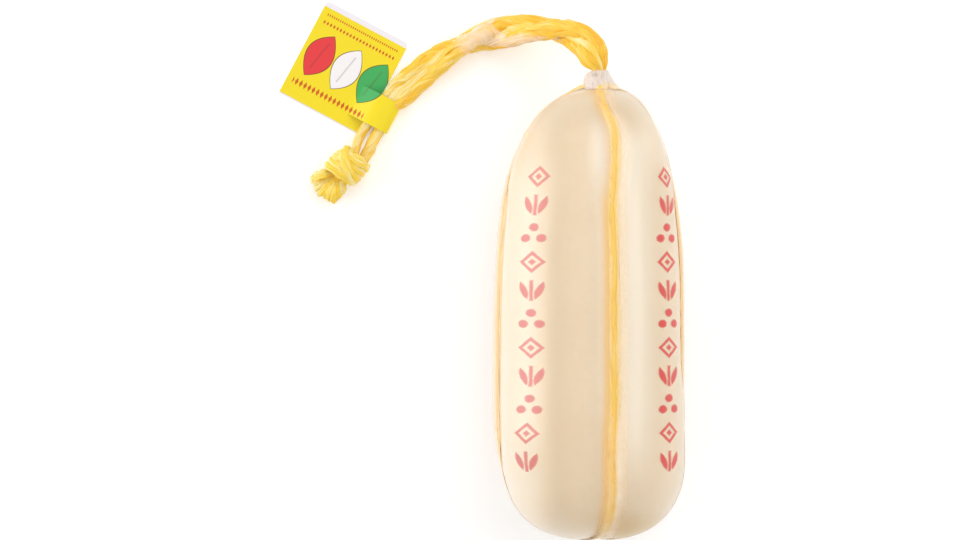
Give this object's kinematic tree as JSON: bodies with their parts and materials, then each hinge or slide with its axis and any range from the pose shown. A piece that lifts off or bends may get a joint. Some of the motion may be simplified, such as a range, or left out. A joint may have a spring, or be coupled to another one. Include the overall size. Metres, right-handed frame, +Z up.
{
  "type": "provolone cheese",
  "caption": "Young stretched-curd cheese of rounded bar form in clear film, bound lengthwise with raffia twine, with a twisted hanging rope that ends in a knot and carries a folded tag.",
  "frame": {"origin": "on the table, under the middle of the cheese and its film neck", "axes": "+Y along the cheese towards its tied neck, +X to the right of the shown side, +Z up out of the shown side"},
  "size_m": [0.1952, 0.2583, 0.0892],
  "materials": {
    "filmed_cheese": "smooth cream curd under tight clear film, soft satin gloss, soft red print",
    "raffia": "fibrous yellow raffia ribbon, twisted, slightly translucent",
    "clear_film": "clear plastic film, milky white where it is gathered",
    "tag_card": "coated card, printed yellow with coloured shapes, white inside"
  },
  "bodies": {
    "root": {"cheese": "filmed_cheese", "twine_front_back": "raffia", "twine_left_right": "raffia", "film_neck": "clear_film", "hanging_rope": "raffia", "left_leg": "raffia", "right_leg": "raffia", "knot": "raffia", "tuft": "raffia", "tag": "tag_card"}
  },
  "joints": []
}
